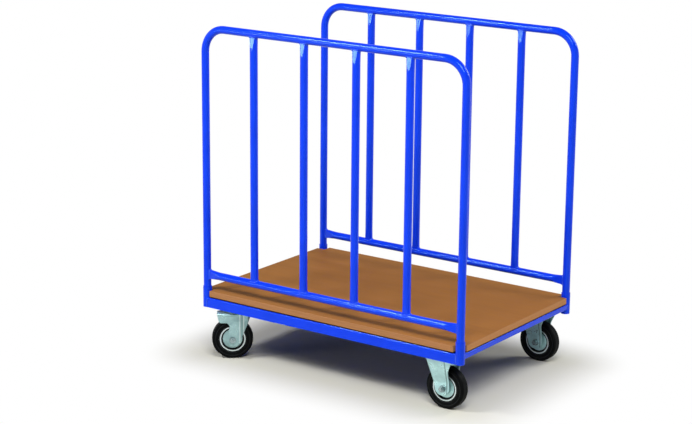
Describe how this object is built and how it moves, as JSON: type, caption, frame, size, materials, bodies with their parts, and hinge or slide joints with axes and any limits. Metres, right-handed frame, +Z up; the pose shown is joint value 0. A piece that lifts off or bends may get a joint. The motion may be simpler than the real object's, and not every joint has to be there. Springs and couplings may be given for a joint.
{
  "type": "long material cart",
  "caption": "Blue steel platform cart with a wooden deck, barred tube hoops plugged in along both long sides, swivel casters at one end and fixed casters at the other.",
  "frame": {"origin": "on the floor under the middle of the platform", "axes": "+X along the cart towards the fixed casters, -Y the front long side, +Z up"},
  "size_m": [1.2, 0.8468, 1.307],
  "materials": {
    "blue_paint": "glossy powder coat",
    "deck_wood": "beech-coloured board, satin",
    "zinc_plate": "bright zinc-plated pressed sheet",
    "bright_steel": "zinc-plated fasteners and turned steel",
    "black_rubber": "matt solid rubber",
    "bearing_cage": "moulded roller cage"
  },
  "bodies": {
    "base": {"swivel_end_rail": "blue_paint", "swivel_outer_bearer": "blue_paint", "swivel_inner_bearer": "blue_paint", "fixed_end_rail": "blue_paint", "fixed_outer_bearer": "blue_paint", "fixed_inner_bearer": "blue_paint", "middle_bearer": "blue_paint", "deck_board": "deck_wood", "deck_screws": "bright_steel", "caster_bolts": "bright_steel", "front_side_rail": "blue_paint", "front_swivel_socket": "blue_paint", "front_fixed_socket": "blue_paint", "rear_side_rail": "blue_paint", "rear_swivel_socket": "blue_paint", "rear_fixed_socket": "blue_paint", "front_swivel_plate": "zinc_plate", "front_swivel_kingpin": "bright_steel", "front_swivel_balls": "bright_steel", "front_fixed_fork": "zinc_plate", "front_fixed_axle_bolt": "bright_steel", "front_fixed_axle_sleeve": "bright_steel", "rear_swivel_plate": "zinc_plate", "rear_swivel_kingpin": "bright_steel", "rear_swivel_balls": "bright_steel", "rear_fixed_fork": "zinc_plate", "rear_fixed_axle_bolt": "bright_steel", "rear_fixed_axle_sleeve": "bright_steel"},
    "front_hoop": {"front_hoop_tube": "blue_paint", "front_lower_rail": "blue_paint", "front_bar_1": "blue_paint", "front_bar_2": "blue_paint", "front_bar_3": "blue_paint", "front_bar_4": "blue_paint"},
    "rear_hoop": {"rear_hoop_tube": "blue_paint", "rear_lower_rail": "blue_paint", "rear_bar_1": "blue_paint", "rear_bar_2": "blue_paint", "rear_bar_3": "blue_paint", "rear_bar_4": "blue_paint"},
    "front_swivel_fork": {"front_swivel_fork": "zinc_plate", "front_swivel_axle_bolt": "bright_steel", "front_swivel_axle_sleeve": "bright_steel"},
    "front_swivel_wheel": {"front_swivel_tyre": "black_rubber", "front_swivel_rim": "zinc_plate", "front_swivel_roller_cage": "bearing_cage"},
    "front_fixed_wheel": {"front_fixed_tyre": "black_rubber", "front_fixed_rim": "zinc_plate", "front_fixed_roller_cage": "bearing_cage"},
    "rear_swivel_fork": {"rear_swivel_fork": "zinc_plate", "rear_swivel_axle_bolt": "bright_steel", "rear_swivel_axle_sleeve": "bright_steel"},
    "rear_swivel_wheel": {"rear_swivel_tyre": "black_rubber", "rear_swivel_rim": "zinc_plate", "rear_swivel_roller_cage": "bearing_cage"},
    "rear_fixed_wheel": {"rear_fixed_tyre": "black_rubber", "rear_fixed_rim": "zinc_plate", "rear_fixed_roller_cage": "bearing_cage"}
  },
  "joints": [
    {"name": "front_hoop_lift", "type": "slide", "parent": "base", "child": "front_hoop", "axis": [0, 0, 1], "range_m": [0, 0.09]},
    {"name": "rear_hoop_lift", "type": "slide", "parent": "base", "child": "rear_hoop", "axis": [0, 0, 1], "range_m": [0, 0.09]},
    {"name": "front_swivel_turn", "type": "hinge", "parent": "base", "child": "front_swivel_fork", "pos_m": [-0.446, -0.335, 0.1845], "axis": [0, 0, 1], "continuous": true},
    {"name": "front_swivel_wheel_spin", "type": "hinge", "parent": "front_swivel_fork", "child": "front_swivel_wheel", "pos_m": [-0.47664, -0.36071, 0.08], "axis": [-0.6428, 0.766, 0], "continuous": true},
    {"name": "rear_swivel_turn", "type": "hinge", "parent": "base", "child": "rear_swivel_fork", "pos_m": [-0.446, 0.335, 0.1845], "axis": [0, 0, 1], "continuous": true},
    {"name": "rear_swivel_wheel_spin", "type": "hinge", "parent": "rear_swivel_fork", "child": "rear_swivel_wheel", "pos_m": [-0.47664, 0.36071, 0.08], "axis": [0.6428, 0.766, 0], "continuous": true},
    {"name": "front_fixed_wheel_spin", "type": "hinge", "parent": "base", "child": "front_fixed_wheel", "pos_m": [0.501, -0.335, 0.08], "axis": [0, 1, 0], "continuous": true},
    {"name": "rear_fixed_wheel_spin", "type": "hinge", "parent": "base", "child": "rear_fixed_wheel", "pos_m": [0.501, 0.335, 0.08], "axis": [0, 1, 0], "continuous": true}
  ]
}
